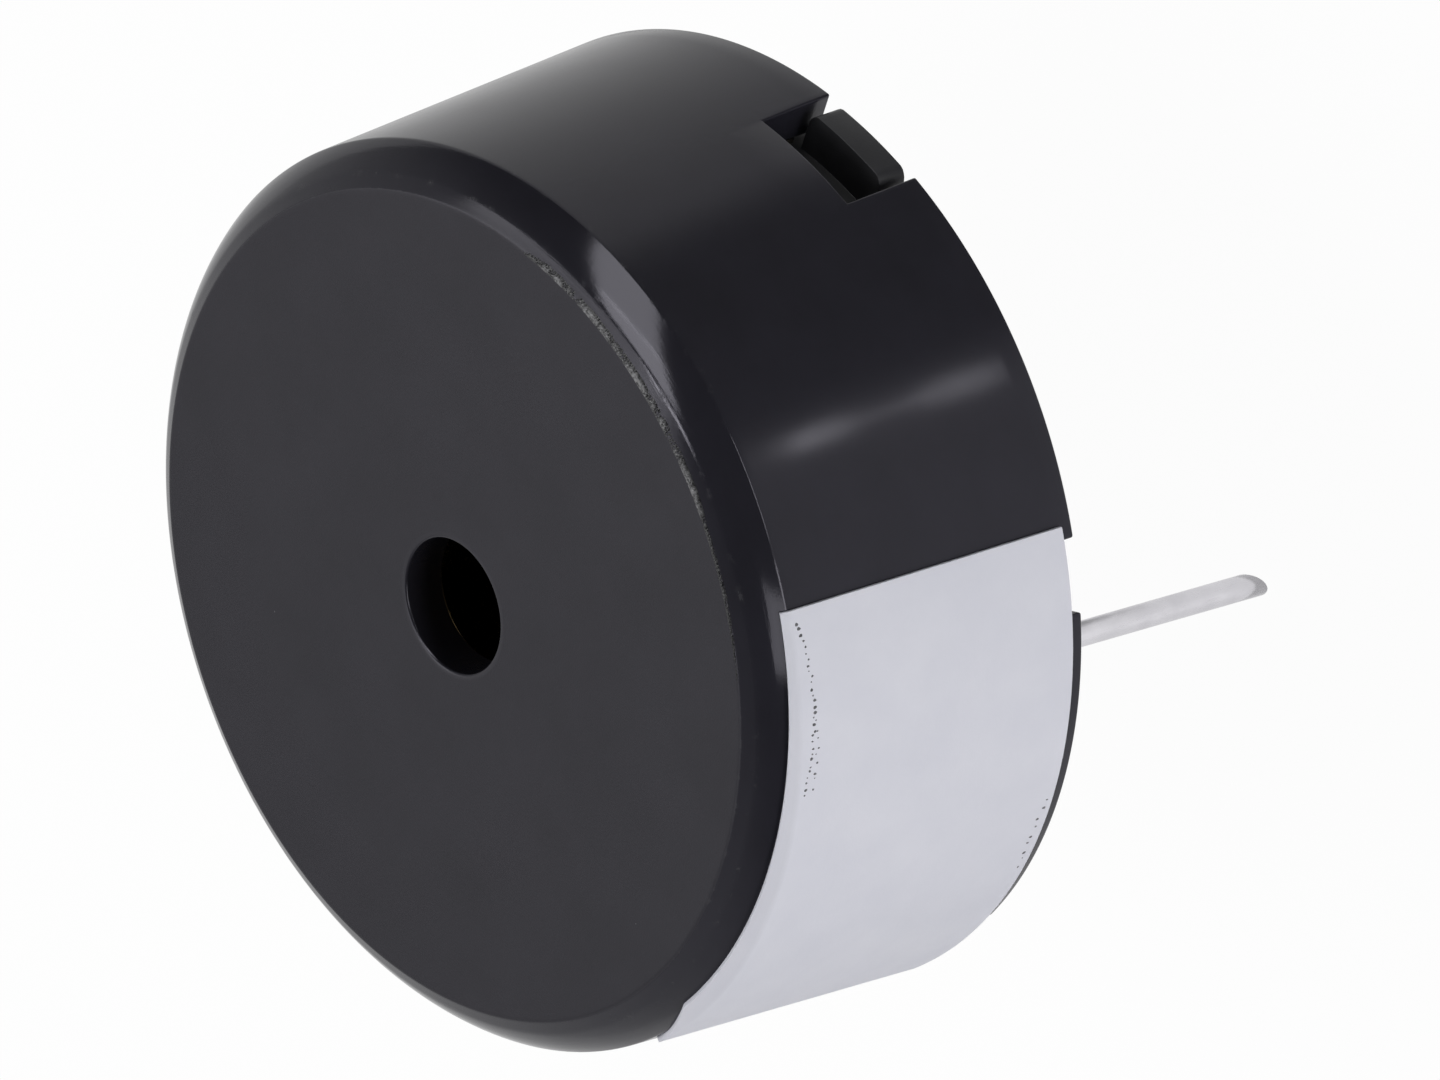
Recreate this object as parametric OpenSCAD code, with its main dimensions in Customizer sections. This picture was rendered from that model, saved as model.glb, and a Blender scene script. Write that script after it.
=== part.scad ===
// Round piezo buzzer with two board pins. The sound hole faces +Z, the pins point down, and the
// origin is the centre of the plane on which the rim and the base sit on a board.

/* [Housing] */
// Outer diameter at the open rim
housing_d = 17; // [16:0.5:24]
// Height from the rim to the flat face
housing_h = 7; // [6.6:0.1:10]
// Radius that the side wall loses between the rim and the shoulder
wall_draft = 0.3; // [0:0.05:0.5]
// Thickness of the side wall where it holds the base
rim_wall_t = 0.8; // [0.6:0.05:1.1]
// Width of the step inside the wall that the base is pushed against
seat_w = 0.35; // [0.2:0.05:0.6]
// Thickness of the front wall
face_t = 0.85; // [0.5:0.05:1.1]
// Diameter of the sound hole
hole_d = 2.45; // [1:0.05:4]

/* [Front edge] */
// Radial width of the rounded bevel above the shoulder
bevel_w = 0.48; // [0.2:0.02:0.8]
// Height of the rounded bevel
bevel_h = 0.55; // [0.3:0.05:0.9]
// How far the bevel bulges out of a straight line
bevel_bulge = 0.04; // [0:0.01:0.08]
// Radial width of the narrow sloping land around the flat face
land_w = 0.27; // [0.1:0.01:0.4]
// Height of the narrow sloping land
land_h = 0.15; // [0.05:0.01:0.25]

/* [Rim openings] */
// Number of slots that take the ears of the base, with a notch halfway between them
ear_count = 3; // [2:1:4]
// Width of each slot
slot_w = 2.35; // [1.6:0.05:3]
// Height of each slot above the rim
slot_h = 1.55; // [1.2:0.05:2]
// Width of each notch
notch_w = 1.35; // [0.6:0.05:2]
// Height of each notch above the rim
notch_h = 0.45; // [0.2:0.05:0.5]

/* [Base] */
// Thickness of the base plate
base_t = 0.8; // [0.7:0.05:1.1]
// Width of the joint around the base plate, which the sealing beads fill
base_gap = 0.1; // [0.05:0.01:0.2]
// Thickness of the ears
ear_t = 0.58; // [0.3:0.02:0.6]
// Clearance on each side of an ear
ear_gap = 0.2; // [0.1:0.05:0.3]
// How far the ends of the ears stay inside the rim
ear_recess = 0.1; // [0.05:0.05:0.3]
// Corner radius of the ears
ear_corner_r = 0.3; // [0.1:0.05:0.5]
// Diameter of the bosses around the pins
boss_d = 2.2; // [1.4:0.1:2.6]
// Height of the bosses above the base plate
boss_h = 0.7; // [0.4:0.1:1]
// Diameter of the recess around each pin, which keeps its bend clear of the board
recess_d = 1.5; // [1.4:0.1:2]
// Depth of the recess around each pin
recess_h = 0.2; // [0.1:0.05:0.4]

/* [Sounder] */
// Depth of the air chamber between the front wall and the sounder
chamber_h = 1.6; // [1.2:0.1:2]
// Width of the ledge that carries the brass plate
ledge_w = 1.05; // [0.8:0.05:1.3]
// Thickness of the brass plate
plate_t = 0.15; // [0.1:0.01:0.2]
// Clearance around the brass plate
plate_gap = 0.35; // [0.2:0.05:0.5]
// Diameter of the ceramic disc
ceramic_d = 10; // [8:0.2:10.4]
// Thickness of the ceramic disc
ceramic_t = 0.15; // [0.1:0.01:0.2]
// Bare margin of the ceramic around its silver electrode
electrode_margin = 0.4; // [0.2:0.05:0.6]
// Thickness of the silver electrode
electrode_t = 0.02; // [0.02:0.01:0.05]
// Thickness of the adhesive between the ledge and the brass plate
film_t = 0.08; // [0.05:0.01:0.12]
// Width of the adhesive fillet on the back of the brass plate
fillet_w = 0.3; // [0.2:0.05:0.4]
// Height of the adhesive fillet on the wall
fillet_h = 0.4; // [0.3:0.05:0.5]

/* [Pins] */
// Distance between the pins at the base
pin_pitch = 10; // [7.5:0.5:10]
// Diameter of the pins
pin_d = 0.45; // [0.4:0.05:0.6]
// Length of the pins below the base
pin_l = 7.2; // [3:0.2:12]
// Outward lean of the pins in degrees
pin_lean = 3.5; // [0.5:0.5:6]
// Inner radius of the slight bend where the pins leave the base
pin_bend_r = 1; // [0.5:0.5:3]
// Angle of the sheared pin ends in degrees from square
shear_angle = 45; // [0:5:60]
// Radial clearance of the pins in the base
pin_gap = 0.02; // [0.01:0.01:0.05]
// Diameter of the collar that rests on the boss
collar_d = 1; // [0.8:0.1:1.2]
// Thickness of the collar
collar_t = 0.2; // [0.1:0.05:0.3]
// Height of the pins above the collar
pin_rise = 0.5; // [0.3:0.1:0.7]

/* [Leads] */
// Diameter of the lead wires
wire_d = 0.24; // [0.16:0.02:0.3]
// Bend radius of the wires above the pins
wire_bend_r = 0.7; // [0.5:0.1:0.8]
// Straight length of wire in each solder joint
wire_stub = 0.2; // [0.1:0.05:0.3]
// Distance of the ceramic's joint from the centre
ceramic_joint_r = 2; // [0:0.1:2.5]
// Angle between a pin and the brass plate's joint
plate_joint_angle = 30; // [26:1:40]
// Clearance of the wires and pins in the solder
solder_gap = 0.01; // [0.01:0.01:0.03]
// Radius of the solder domes on the sounder
dome_r = 0.55; // [0.4:0.05:0.6]
// Height of the solder domes on the sounder
dome_h = 0.42; // [0.35:0.01:0.45]
// Diameter of the solder cones on the pins
cone_d = 0.8; // [0.7:0.05:1]

/* [Label] */
// Length of the label around the wall
label_l = 10.9; // [4:0.1:14]
// Thickness of the label
label_t = 0.1; // [0.06:0.01:0.15]
// Distance of the label from the rim
label_gap = 0.29; // [0.1:0.01:0.4]
// Height to which the middle of the label is folded over the shoulder
label_fold = 0.2; // [0.1:0.05:0.4]
// Direction of the label's middle in degrees around +Z
label_angle = -90; // [-110:1:-70]
// Angle in degrees by which the label is stuck on askew
label_skew = 1; // [0:0.5:3]
// Length of the front edge that is trimmed aslant at the label's far corner
label_trim_l = 1.8; // [0.5:0.1:3]
// Angle in degrees of that trim
label_trim = 16; // [3:1:20]

/* [Hidden] */
$fn = 96;

black = "#232326";
base_black = "#1c1c1e";
seal_dark = "#1d1916";
brass = "#c9a24a";
ceramic_cream = "#d8d2bd";
silver = "#c9cccf";
silicone_white = "#e6e6e2";
tin = "#b9bcbf";
red_enamel = "#a02a22";
dark_enamel = "#2b2b33";
paper_white = "#cdced6";

cut = 1; // how far a cutting shape reaches past what it cuts
arc_steps = 8; // straight pieces of the rounded bevel

// Side wall and front edge
rim_r = housing_d / 2;
shoulder_r = rim_r - wall_draft;
land_z = housing_h - land_h;
shoulder_z = land_z - bevel_h;
land_r = shoulder_r - bevel_w;
face_r = land_r - land_w;
bevel_lean = atan2(bevel_w, bevel_h);

// Inside of the housing
bore_r = rim_r - rim_wall_t;
inner_r = bore_r - seat_w;
ceiling_z = housing_h - face_t;
ledge_z = ceiling_z - chamber_h;
chamber_r = inner_r - ledge_w;

// Sounder, glued on the ledge from behind
plate_r = inner_r - plate_gap;
plate_top = ledge_z - film_t;
plate_bottom = plate_top - plate_t;
ceramic_bottom = plate_bottom - ceramic_t;
electrode_bottom = ceramic_bottom - electrode_t;

// Base
base_r = bore_r - base_gap;
ear_w = slot_w - 2 * ear_gap;
ear_r = rim_r - ear_recess;
seal_bottom = max(ear_t, notch_h);
boss_top = base_t + boss_h;

// Pins and leads
pin_r = pin_d / 2;
pin_place = pin_pitch / 2;
collar_top = boss_top + collar_t;
pin_top = collar_top + pin_rise;
bend_centre = pin_r + pin_bend_r;
wire_r = wire_d / 2;
wire_run_z = pin_top + wire_stub + wire_bend_r;
dome_sphere_r = (dome_r * dome_r + dome_h * dome_h) / (2 * dome_h);
plate_joint_r = (ceramic_d / 2 + plate_r - fillet_w) / 2;
ceramic_joint = [0, ceramic_joint_r];
plate_joint = plate_joint_r * [sin(plate_joint_angle), -cos(plate_joint_angle)];

// Points from p to q on a curve that bulges to the right of the way by b at its middle
function bulged(p, q, b) =
    let (way = q - p, side = [way[1], -way[0]] / norm(way))
    [for (i = [0:arc_steps]) let (t = i / arc_steps) p + way * t + side * 4 * b * t * (1 - t)];

// Outside of the housing from the rim up to the flat face, moved out by t for what lies on it
function outside(t = 0) = concat(
    [[rim_r + t, 0]],
    bulged([shoulder_r + t, shoulder_z + t * tan(bevel_lean / 2)],
           [land_r + t * cos(bevel_lean), land_z + t * sin(bevel_lean)], bevel_bulge),
    [[face_r, housing_h + t]]);

// Copies its children at the directions of the ears, turned on by a further angle
module around_ears(turn = 0)
    for (i = [0:ear_count - 1])
        rotate([0, 0, turn + i * 360 / ear_count]) children();

// Opening in the wall along +X, from below the rim up to a height
module wall_opening(w, h)
    translate([inner_r - cut, -w / 2, -cut])
        cube([rim_r - inner_r + 2 * cut, w, h + cut]);

module housing()
    color(black) difference() {
        rotate_extrude() polygon(concat([[0, 0]], outside(), [[0, housing_h]]));
        translate([0, 0, -cut]) cylinder(r = bore_r, h = base_t + cut);
        cylinder(r = inner_r, h = ledge_z);
        cylinder(r = chamber_r, h = ceiling_z);
        cylinder(d = hole_d, h = housing_h + cut);
        around_ears() wall_opening(slot_w, slot_h);
        around_ears(180 / ear_count) wall_opening(notch_w, notch_h);
    }

// Ear along +X with rounded outer corners
module ear()
    linear_extrude(ear_t) intersection() {
        union() {
            translate([0, -ear_w / 2]) square([ear_r - ear_corner_r, ear_w]);
            for (side = [-1, 1])
                translate([ear_r - ear_corner_r, side * (ear_w / 2 - ear_corner_r)])
                    circle(ear_corner_r);
            translate([0, ear_corner_r - ear_w / 2]) square([ear_r, ear_w - 2 * ear_corner_r]);
        }
        circle(ear_r);
    }

module base()
    color(base_black) difference() {
        union() {
            cylinder(r = base_r, h = base_t);
            around_ears() ear();
            for (side = [-1, 1]) translate([0, side * pin_place, 0]) cylinder(d = boss_d, h = boss_top);
        }
        for (side = [-1, 1]) translate([0, side * pin_place, -cut]) {
            cylinder(r = pin_r + pin_gap, h = boss_top + 2 * cut);
            cylinder(d = recess_d, h = recess_h + cut);
        }
    }

// Beads that fill the joint above the notches, between one slot and the next
module base_seal()
    color(seal_dark) difference() {
        translate([0, 0, seal_bottom]) cylinder(r = bore_r, h = base_t - seal_bottom);
        translate([0, 0, -cut]) cylinder(r = base_r, h = base_t + 2 * cut);
        around_ears() wall_opening(slot_w, slot_h);
    }

module brass_plate()
    color(brass) translate([0, 0, plate_bottom]) cylinder(r = plate_r, h = plate_t);

module ceramic_disc()
    color(ceramic_cream) translate([0, 0, ceramic_bottom]) cylinder(d = ceramic_d, h = ceramic_t);

module silver_electrode()
    color(silver) translate([0, 0, electrode_bottom])
        cylinder(d = ceramic_d - 2 * electrode_margin, h = electrode_t);

// Film on the ledge, the joint around the brass plate and the fillet behind it, in one bead
module sounder_adhesive()
    color(silicone_white) rotate_extrude() polygon([
        [chamber_r, ledge_z], [chamber_r, plate_top], [plate_r, plate_top], [plate_r, plate_bottom],
        [plate_r - fillet_w, plate_bottom], [inner_r, plate_bottom - fillet_h], [inner_r, ledge_z]]);

// Pin on +Y: straight through the base, a slight bend at the seating plane, then the leaning end
module pin()
    color(tin) translate([0, pin_place, 0]) {
        cylinder(r = pin_r, h = pin_top);
        translate([0, 0, boss_top]) cylinder(d = collar_d, h = collar_t);
        translate([0, bend_centre, 0]) rotate([0, 90, 0]) rotate([0, 0, -90])
            rotate_extrude(angle = pin_lean) translate([bend_centre, 0]) circle(pin_r);
        translate([0, bend_centre, 0]) rotate([pin_lean, 0, 0]) translate([0, -bend_centre, 0])
            difference() {
                translate([0, 0, -pin_l]) cylinder(r = pin_r, h = pin_l);
                translate([0, pin_r, -pin_l]) rotate([-shear_angle, 0, 0])
                    translate([-cut, -3 * cut, -4 * cut]) cube([2 * cut, 4 * cut, 4 * cut]);
            }
    }

module pin_a() pin();

module pin_b() mirror([0, 1, 0]) pin();

// Cone of solder over the end of the pin on +Y and the start of its wire
module pin_solder()
    color(silver) translate([0, pin_place, 0]) rotate_extrude() polygon([
        [pin_r + solder_gap, collar_top], [cone_d / 2, collar_top],
        [wire_r + 2 * solder_gap, pin_top + wire_stub], [wire_r + solder_gap, pin_top + wire_stub],
        [wire_r + solder_gap, pin_top], [pin_r + solder_gap, pin_top]]);

module pin_a_solder() pin_solder();

module pin_b_solder() mirror([0, 1, 0]) pin_solder();

// Quarter bend of a wire in the XZ plane: from pointing up to pointing along +X, radius r
module wire_bend(r)
    rotate([90, 0, 0]) rotate_extrude(angle = 90) translate([r, 0]) circle(wire_r);

// Wire up from the pin at one place, level towards a joint and up into its solder dome
module lead(from, to, joint_z) {
    way = to - from;
    last_r = joint_z - dome_h - wire_run_z;
    translate([from[0], from[1], 0]) rotate([0, 0, atan2(way[1], way[0])]) {
        translate([0, 0, pin_top]) cylinder(r = wire_r, h = wire_stub);
        translate([wire_bend_r, 0, wire_run_z - wire_bend_r]) mirror([1, 0, 0]) wire_bend(wire_bend_r);
        translate([wire_bend_r, 0, wire_run_z]) rotate([0, 90, 0])
            cylinder(r = wire_r, h = norm(way) - wire_bend_r - last_r);
        translate([norm(way) - last_r, 0, wire_run_z + last_r]) mirror([0, 0, 1]) wire_bend(last_r);
        translate([norm(way), 0, wire_run_z + last_r]) cylinder(r = wire_r, h = wire_stub);
    }
}

module ceramic_lead() color(red_enamel) lead([0, pin_place], ceramic_joint, electrode_bottom);

module plate_lead() color(dark_enamel) lead([0, -pin_place], plate_joint, plate_bottom);

// Dome of solder hanging from a surface of the sounder, with its wire's end inside
module solder_dome(at, joint_z)
    color(silver) translate([at[0], at[1], joint_z - dome_h]) difference() {
        intersection() {
            translate([0, 0, dome_sphere_r]) sphere(dome_sphere_r);
            cylinder(r = 2 * dome_r, h = dome_h);
        }
        translate([0, 0, -cut]) cylinder(r = wire_r + solder_gap, h = wire_stub + cut);
    }

module ceramic_solder() solder_dome(ceramic_joint, electrode_bottom);

module plate_solder() solder_dome(plate_joint, plate_bottom);

// Paper wrapped on the wall and over the shoulder; its ends and its front edge are cut askew, and the
// front edge is trimmed aslant at the far corner
module label() {
    half_angle = label_l / 2 / rim_r * 180 / PI;
    blank_angle = half_angle + 4 * label_skew + 5;
    front_z = shoulder_z + label_fold;
    trim_y = -rim_r * sin(half_angle - label_trim_l / rim_r * 180 / PI);
    color(paper_white) difference() {
        rotate([0, 0, label_angle - blank_angle]) rotate_extrude(angle = 2 * blank_angle)
            polygon(concat(outside(label_t), [[0, housing_h + label_t], [0, 0]]));
        rotate_extrude() polygon(concat([[0, -cut], [rim_r, -cut]], outside(), [[0, housing_h]]));
        translate([0, 0, label_gap - 2 * cut]) cylinder(r = 2 * rim_r, h = 2 * cut);
        rotate([0, 0, label_angle]) translate([0, 0, front_z]) rotate([-label_skew, 0, 0])
            translate([-cut, -2 * rim_r, 0]) cube([2 * rim_r, 4 * rim_r, 3 * cut]);
        rotate([0, 0, label_angle]) translate([0, trim_y, front_z - trim_y * tan(label_skew)])
            rotate([label_trim, 0, 0]) translate([-cut, -2 * rim_r, 0]) cube([2 * rim_r, 4 * rim_r, 3 * cut]);
        for (end = [-1, 1])
            rotate([0, 0, label_angle + end * half_angle]) translate([0, 0, front_z / 2])
                rotate([-label_skew, 0, 0]) translate([0, end < 0 ? -2 * rim_r : 0, -housing_h])
                    cube([2 * rim_r, 2 * rim_r, 2 * housing_h]);
    }
}

housing();
base();
base_seal();
brass_plate();
ceramic_disc();
silver_electrode();
sounder_adhesive();
pin_a();
pin_b();
pin_a_solder();
pin_b_solder();
ceramic_lead();
plate_lead();
ceramic_solder();
plate_solder();
label();
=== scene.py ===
import bmesh
import bpy
import numpy as np
from mathutils import Matrix, Vector


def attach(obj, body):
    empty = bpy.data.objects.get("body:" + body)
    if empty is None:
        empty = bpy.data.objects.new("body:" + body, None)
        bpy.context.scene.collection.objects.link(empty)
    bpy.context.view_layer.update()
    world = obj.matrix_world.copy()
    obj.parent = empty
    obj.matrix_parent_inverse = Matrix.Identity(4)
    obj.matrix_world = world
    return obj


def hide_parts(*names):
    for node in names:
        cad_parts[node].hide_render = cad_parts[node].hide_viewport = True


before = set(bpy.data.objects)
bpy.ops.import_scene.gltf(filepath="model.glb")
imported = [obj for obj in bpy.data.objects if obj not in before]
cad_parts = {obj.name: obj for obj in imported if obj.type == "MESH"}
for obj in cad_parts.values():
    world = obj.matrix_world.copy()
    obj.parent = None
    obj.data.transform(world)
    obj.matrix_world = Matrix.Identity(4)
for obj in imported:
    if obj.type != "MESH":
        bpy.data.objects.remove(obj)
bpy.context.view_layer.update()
print("frame loaded:", len(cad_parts), "nodes")

mm = 0.001  # every size below is in millimetres; a mesh gets metres
seeded = np.random.default_rng(17)

cameraSet = dict(
    azimuth=-39.0,     # direction of the camera seen from the part, degrees around +Z from +X
    elevation=37.72,
    roll=-109.2,
    distance=833.3,
    lens=1198.5,
    sensor=36.0,
    aimRight=-0.607,   # what the frame's middle looks at, from the origin, along the camera's own axes
    aimUp=-0.675,
)

floorSet = dict(
    height=-7.35,      # just under the pin tips
    size=1200.0,
    colour=(0.8, 0.8, 0.81),
    backdrop=0.965,    # share of plain white that the camera sees on it; the rest takes the shadow
    mirrored=(0.82, 0.2),   # its glow in gloss and glass: plain, and in the sector of painted shade
    paintedShadeSide=-4.0,          # direction of the middle of that sector
    paintedShadeEdge=(0.86, 0.96),  # cosines of the angle from its middle between which it fades
)

roomSet = dict(
    brightSide=(150.0, 20.0),   # direction of the bright wall of the room: angle, elevation
    bright=0.76,                # light from that side
    dim=0.10,                   # light from the opposite side
    spread=(0.0, 0.95),         # cosines between which one becomes the other
)

lampSet = [
    # name, direction angle, elevation, distance, width, height, power in watts, seen in gloss only
    ("key", 104.0, 66.0, 250.0, 190.0, 190.0, 0.33, False),
    ("labelSide", -72.0, 4.0, 160.0, 110.0, 60.0, 0.145, False),
    ("edgeLow", 18.0, 26.0, 150.0, 56.0, 120.0, 0.118, True),
    ("edgeHigh", 17.0, 54.5, 150.0, 54.0, 42.0, 0.050, True),
    ("edgeLine", 12.0, 70.5, 150.0, 34.0, 14.0, 0.017, True),
    ("shoulderLine", -36.0, 4.0, 150.0, 60.0, 16.0, 0.028, True),
    ("bevelSide", -70.0, 28.0, 150.0, 46.0, 64.0, 0.032, True),
    # three small ones near the wall, which make the broken streak on it
    ("streakTop", -31.9, 0.9, 15.3, 0.9, 1.1, 0.000019, True),
    ("streakBand", -31.9, -4.9, 15.35, 0.3, 2.4, 0.000007, True),
    ("streakFoot", -31.9, -11.1, 15.6, 1.0, 1.3, 0.000018, True),
]


def direction(azimuth, elevation):
    # unit vector: (cos a cos e, sin a cos e, sin e), a around +Z from +X and e up from the seating plane
    a, e = np.radians([azimuth, elevation])
    return Vector((np.cos(a) * np.cos(e), np.sin(a) * np.cos(e), np.sin(e)))


def makeCamera(s):
    # the frame's right and up are the level ones turned by the roll about the line of sight
    toCamera = direction(s["azimuth"], s["elevation"])
    level = Vector((0, 0, 1)).cross(toCamera).normalized()
    raised = toCamera.cross(level)
    turn = np.radians(s["roll"])
    right = level * np.cos(turn) + raised * np.sin(turn)
    up = raised * np.cos(turn) - level * np.sin(turn)
    data = bpy.data.cameras.new("camera")
    data.sensor_width = s["sensor"]
    data.lens = s["lens"]
    data.clip_start = 0.05
    data.clip_end = 5.0
    camera = bpy.data.objects.new("camera", data)
    aim = right * s["aimRight"] + up * s["aimUp"]
    place = (aim + toCamera * s["distance"]) * mm
    turned = Matrix((right, up, toCamera)).transposed().to_4x4()
    camera.matrix_world = Matrix.Translation(place) @ turned
    bpy.context.scene.collection.objects.link(camera)
    bpy.context.scene.camera = camera
    bpy.context.scene.view_settings.view_transform = "Standard"


def makeLamps(s):
    # rectangles that face the origin, each at a direction and a distance
    for name, azimuth, elevation, distance, width, height, power, glossOnly in s:
        data = bpy.data.lights.new(name, "AREA")
        data.shape = "RECTANGLE"
        data.size = width * mm
        data.size_y = height * mm
        data.energy = power
        lamp = bpy.data.objects.new(name, data)
        way = direction(azimuth, elevation)
        turned = way.to_track_quat("Z", "Y").to_matrix().to_4x4()
        lamp.matrix_world = Matrix.Translation(way * distance * mm) @ turned
        lamp.visible_camera = False
        lamp.visible_diffuse = not glossOnly
        bpy.context.scene.collection.objects.link(lamp)


def makeWorld(s):
    # light = smooth step over the cosine between a direction and the bright side; the camera sees white
    world = bpy.data.worlds.new("studio")
    world.use_nodes = True
    tree = world.node_tree
    nodes = tree.nodes
    links = tree.links
    nodes.clear()
    path = nodes.new("ShaderNodeLightPath")
    seen = nodes.new("ShaderNodeTexCoord").outputs["Generated"]
    towards = vectorMath(tree, "DOT_PRODUCT", seen, direction(*s["brightSide"]))
    light = smoothRange(tree, towards.outputs["Value"], s["spread"], (s["dim"], s["bright"]))
    strength = calc(tree, "MAXIMUM", path.outputs["Is Camera Ray"], light)
    background = nodes.new("ShaderNodeBackground")
    background.inputs["Color"].default_value = (1, 1, 1, 1)
    out = nodes.new("ShaderNodeOutputWorld")
    links.new(strength, background.inputs["Strength"])
    links.new(background.outputs[0], out.inputs["Surface"])
    bpy.context.scene.world = world


def makeFloor(s):
    # a flat square; from below it lets the view through, so the underside of the part can be seen
    half = s["size"] / 2
    corners = np.array([[-half, -half], [half, -half], [half, half], [-half, half]])
    points = np.c_[corners, np.full(4, s["height"])]
    floor = putMesh("floor", points, np.array([[0, 1, 2, 3]]), smooth=False)
    material = bpy.data.materials.new("floorPaper")
    material.use_nodes = True
    tree = material.node_tree
    nodes = tree.nodes
    links = tree.links
    nodes.clear()
    path = nodes.new("ShaderNodeLightPath")
    sides = nodes.new("ShaderNodeNewGeometry")
    matt = nodes.new("ShaderNodeBsdfDiffuse")
    matt.inputs["Color"].default_value = (*s["colour"], 1)
    # glow seen in gloss: plain all round, with painted shade in one sector
    here = nodes.new("ShaderNodeTexCoord").outputs["Object"]
    flat = vectorMath(tree, "MULTIPLY", here, (1, 1, 0))
    ahead = vectorMath(tree, "NORMALIZE", flat.outputs["Vector"])
    towards = vectorMath(tree, "DOT_PRODUCT", ahead.outputs["Vector"], direction(s["paintedShadeSide"], 0))
    tone = smoothRange(tree, towards.outputs["Value"], s["paintedShadeEdge"], s["mirrored"])
    inMirror = calc(tree, "MAXIMUM", path.outputs["Is Glossy Ray"], path.outputs["Is Transmission Ray"])
    white = nodes.new("ShaderNodeEmission")
    white.inputs["Color"].default_value = (1, 1, 1, 1)
    links.new(calc(tree, "MAXIMUM", path.outputs["Is Camera Ray"], tone), white.inputs["Strength"])
    whitened = nodes.new("ShaderNodeMixShader")
    share = calc(tree, "MULTIPLY_ADD", path.outputs["Is Camera Ray"], s["backdrop"], inMirror)
    links.new(share, whitened.inputs[0])
    links.new(matt.outputs[0], whitened.inputs[1])
    links.new(white.outputs[0], whitened.inputs[2])
    oneWay = nodes.new("ShaderNodeMixShader")
    links.new(sides.outputs["Backfacing"], oneWay.inputs[0])
    links.new(whitened.outputs[0], oneWay.inputs[1])
    links.new(nodes.new("ShaderNodeBsdfTransparent").outputs[0], oneWay.inputs[2])
    out = nodes.new("ShaderNodeOutputMaterial")
    links.new(oneWay.outputs[0], out.inputs["Surface"])
    floor.data.materials.append(material)
    floor.visible_shadow = False    # light from under the floor's height still reaches the part


def putMesh(name, points, faces, smooth=True, merge=False):
    # points in millimetres and quads that number them; points that no quad uses are left out
    used, faces = np.unique(faces, return_inverse=True)
    faces = faces.reshape(-1, 4)
    points = np.asarray(points, float).reshape(-1, 3)[used] * mm
    data = bpy.data.meshes.new(name)
    data.vertices.add(len(points))
    data.vertices.foreach_set("co", points.ravel())
    data.loops.add(faces.size)
    data.loops.foreach_set("vertex_index", faces.ravel().astype(np.int32))
    data.polygons.add(len(faces))
    data.polygons.foreach_set("loop_start", np.arange(0, faces.size, 4, dtype=np.int32))
    data.update(calc_edges=True)
    if merge:
        soft = bmesh.new()
        soft.from_mesh(data)
        bmesh.ops.remove_doubles(soft, verts=soft.verts, dist=1e-7)
        soft.to_mesh(data)
        soft.free()
    data.validate()
    data.polygons.foreach_set("use_smooth", np.full(len(data.polygons), smooth))
    piece = bpy.data.objects.new(name, data)
    bpy.context.scene.collection.objects.link(piece)
    return piece


def meshPoints(piece):
    # all points of a mesh in millimetres
    at = np.empty(len(piece.data.vertices) * 3)
    piece.data.vertices.foreach_get("co", at)
    return at.reshape(-1, 3) / mm


def putAttribute(piece, name, values):
    # one number for each point
    layer = piece.data.attributes.new(name, "FLOAT", "POINT")
    layer.data.foreach_set("value", np.asarray(values, np.float32))


def gridQuads(rows, columns, first=0, closeRows=False, closeColumns=False):
    # grid of points stored row by row; a closed direction joins its last line to its first
    row = np.arange(rows if closeRows else rows - 1)[:, None]
    column = np.arange(columns if closeColumns else columns - 1)[None, :]
    nextRow = (row + 1) % rows
    nextColumn = (column + 1) % columns
    quads = np.stack([row * columns + column, row * columns + nextColumn,
                      nextRow * columns + nextColumn, nextRow * columns + column], -1)
    return quads.reshape(-1, 4) + first


def ladderQuads(count):
    # closes a loop of points with quads from side to side, as the rungs of a ladder
    i = np.arange(count // 2 - 1)
    return np.stack([i, i + 1, count - 2 - i, count - 1 - i], -1)


def roundedCorner(before, corner, after, reach, steps):
    # (1 - t)^2 start + 2 t (1 - t) corner + t^2 end, with start and end at the same reach from the corner
    before, corner, after = (np.array(p, float) for p in (before, corner, after))
    start = corner + (before - corner) / np.linalg.norm(before - corner) * reach
    end = corner + (after - corner) / np.linalg.norm(after - corner) * reach
    t = np.linspace(0, 1, steps)[:, None]
    return (1 - t) ** 2 * start + 2 * t * (1 - t) * corner + t ** 2 * end


def aroundZ(line, angles):
    # points of a line of (radius, height) turned to each angle: x = r cos a, y = r sin a
    line = np.asarray(line, float)
    a = np.asarray(angles, float)[:, None]
    level = np.broadcast_to(line[:, 1], (len(a), len(line)))
    return np.stack([line[:, 0] * np.cos(a), line[:, 0] * np.sin(a), level], -1)


def lathe(name, line, columns, centre):
    # a closed section of (radius, height) points carried once around an upright axis through the centre
    angles = np.linspace(0, 2 * np.pi, columns, endpoint=False)
    points = aroundZ(line, angles)
    points[..., 0] += centre[0]
    points[..., 1] += centre[1]
    faces = gridQuads(columns, len(line), closeRows=True, closeColumns=True)[:, ::-1]
    return putMesh(name, points, faces)


def sweep(path, radius, sides):
    # rings around a path: point + radius * (cos a * one side + sin a * the other), both square to the path
    path = np.asarray(path, float)
    ahead = np.gradient(path, axis=0)
    ahead /= np.linalg.norm(ahead, axis=1)[:, None]
    spread = np.linalg.svd(path - path.mean(0))[2][-1]   # direction across the plane of the path
    across = spread - ahead * (ahead @ spread)[:, None]
    across /= np.linalg.norm(across, axis=1)[:, None]
    other = np.cross(ahead, across)
    a = np.linspace(0, 2 * np.pi, sides, endpoint=False)
    radius = np.broadcast_to(radius, len(path))[:, None, None]
    ring = across[:, None] * np.cos(a)[None, :, None] + other[:, None] * np.sin(a)[None, :, None]
    return path[:, None] + ring * radius


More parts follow.
